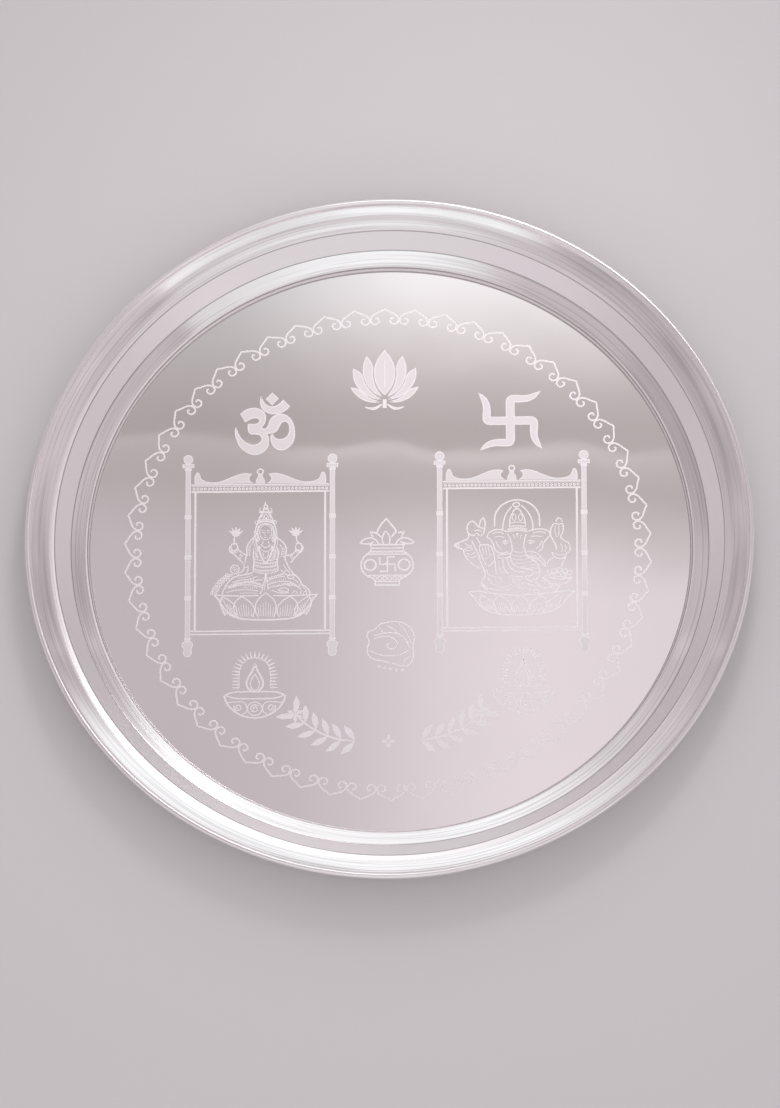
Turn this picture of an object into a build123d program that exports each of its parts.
from build123d import *
import math
import os

# A round plate spun from one sheet, with its edge rolled over a ring of wire.
# Sizes are in millimetres. The plate stands on z = 0, centred on the Z axis.

# Sheet and its bends
sheet_thickness = 0.7
bend_radius = 0.4           # inside every bend of the sheet

# Upper face of the sheet, from the middle outwards
floor_diameter = 247.6      # flat floor
step_run = 0.9              # short steep wall round the floor
step_rise = 2.4
band_run = 6.7              # shallow inner band
band_rise = 2.5
riser_run = 6.5             # plain cone between the two bands
riser_rise = 5.9
flange_run = 9.6            # outer flange, up to the rolled edge
flange_rise = 4.9
flange_sag = 0.4            # how far the flange dips below a straight cone

# Rolled edge
wire_diameter = 0.9
wire_clearance = 0.1        # between the wire and the sheet rolled over it
throat_radius = 0.5         # crease where the flange turns up into the roll
curl_gap = 0.25             # between the end of the roll and the throat

# Places on the upper face worked out from those sizes, as points of radius and height
axis_point = Vector(0, sheet_thickness)
floor_edge = Vector(floor_diameter / 2, sheet_thickness)
step_top = floor_edge + Vector(step_run, step_rise)
riser_foot = step_top + Vector(band_run, band_rise)
riser_top = riser_foot + Vector(riser_run, riser_rise)
seat_radius = wire_diameter / 2 + wire_clearance
bead_radius = seat_radius + sheet_thickness
bead_centre = riser_top + Vector(flange_run + bead_radius, flange_rise)


def toward(start, end):
    """Unit vector from one point to another."""
    return (end - start).normalized()


def across(direction):
    """The direction turned a quarter turn to the left, which is up through the sheet."""
    return Vector(-direction.Y, direction.X)


def polar(centre, radius, angle):
    """The point at an angle, in degrees, on a circle."""
    return centre + Vector(radius, 0).rotate(Axis.Z, angle)


def circles_meet(centre_a, radius_a, centre_b, radius_b):
    """Where two circles cross, on the left going from the first centre to the second."""
    apart = (centre_b - centre_a).length
    along = (apart**2 + radius_a**2 - radius_b**2) / (2 * apart)
    aside = math.sqrt(radius_a**2 - along**2)
    axis = toward(centre_a, centre_b)
    return centre_a + axis * along + across(axis) * aside


def line_meets(point, direction, centre, radius):
    """Where a line that starts outside a circle enters it."""
    along = (centre - point).dot(direction)
    aside = (centre - point - direction * along).length
    return point + direction * (along - math.sqrt(radius**2 - aside**2))


def corner_below(before, corner, after, depth):
    """The corner of two straight stretches, moved down through the sheet by a depth."""
    normal_a = across(toward(before, corner))
    normal_b = across(toward(corner, after))
    return corner - (normal_a + normal_b) * (depth / (1 + normal_a.dot(normal_b)))


def arc_about(centre, start, end):
    """The arc of under a half turn about a centre, from one point to another."""
    middle = centre + toward(centre, (start + end) / 2) * (start - centre).length
    return ThreePointArc(start, middle, end)


def corners_at(line, points):
    """The line's vertices at the given points."""
    return [min(line.vertices(), key=lambda vertex: (Vector(vertex) - point).length) for point in points]


# The flange is an arc that dips below the straight line from the riser to the wire's centre.
flange_chord = bead_centre - riser_top
flange_radius = (flange_chord.length**2 / 4 + flange_sag**2) / (2 * flange_sag)
flange_middle = (riser_top + bead_centre) / 2
flange_centre = flange_middle + across(flange_chord.normalized()) * (flange_radius - flange_sag)

# The throat touches the flange from inside its curve, and the bead from outside.
throat_reach = bead_radius + throat_radius
throat_centre = circles_meet(bead_centre, throat_reach, flange_centre, flange_radius - throat_radius)
throat_from_bead = toward(bead_centre, throat_centre)

# The roll starts at the throat, goes over the wire and stops short of the throat's underside.
roll_start_angle = math.degrees(math.atan2(throat_from_bead.Y, throat_from_bead.X))
throat_clear = throat_radius + sheet_thickness + curl_gap
roll_open_cosine = (throat_reach**2 + bead_radius**2 - throat_clear**2) / (2 * throat_reach * bead_radius)
roll_sweep = math.degrees(math.acos(roll_open_cosine)) - 360


def sheet_line(depth):
    """The sheet's section at a depth below its upper face, from the axis to the end of the roll."""
    start = axis_point - Vector(0, depth)
    floor_corner = corner_below(axis_point, floor_edge, step_top, depth)
    step_corner = corner_below(floor_edge, step_top, riser_foot, depth)
    foot_corner = corner_below(step_top, riser_foot, riser_top, depth)
    riser_way = toward(riser_foot, riser_top)
    top_corner = line_meets(foot_corner, riser_way, flange_centre, flange_radius + depth)
    flange_end = flange_centre + toward(flange_centre, throat_centre) * (flange_radius + depth)
    roll_start = bead_centre + throat_from_bead * (bead_radius - depth)

    cones = Polyline(start, floor_corner, step_corner, foot_corner, top_corner)
    flange = arc_about(flange_centre, top_corner, flange_end)
    throat = arc_about(throat_centre, flange_end, roll_start)
    roll = CenterArc(bead_centre, bead_radius - depth, roll_start_angle, roll_sweep)
    line = Wire(cones.edges() + flange.edges() + throat.edges() + roll.edges())

    # Bends that open upwards are tight on the upper face, and the other bends on the underside.
    line = line.fillet_2d(bend_radius + depth, corners_at(line, [floor_corner, foot_corner]))
    outside = bend_radius + sheet_thickness - depth
    return line.fillet_2d(outside, corners_at(line, [step_corner, top_corner]))


def make_pan():
    """The spun sheet: a section of even thickness, turned about the axis."""
    roll_end_angle = roll_start_angle + roll_sweep
    axis_end = Line(axis_point, axis_point - Vector(0, sheet_thickness))
    roll_end = Line(
        polar(bead_centre, bead_radius, roll_end_angle),
        polar(bead_centre, seat_radius, roll_end_angle),
    )
    outline = sheet_line(0).edges() + sheet_line(sheet_thickness).edges() + axis_end.edges() + roll_end.edges()
    section = Plane.XZ * make_face(outline)
    return revolve(section, Axis.Z)


def make_rim_wire():
    """The ring of wire inside the rolled edge."""
    return Pos(0, 0, bead_centre.Y) * Torus(bead_centre.X, wire_diameter / 2)


os.makedirs("parts", exist_ok=True)
export_step(make_pan(), "parts/pan.step")
export_step(make_rim_wire(), "parts/rim_wire.step")

print(f"diameter {2 * (bead_centre.X + bead_radius):.2f}, height {bead_centre.Y + bead_radius:.2f}")
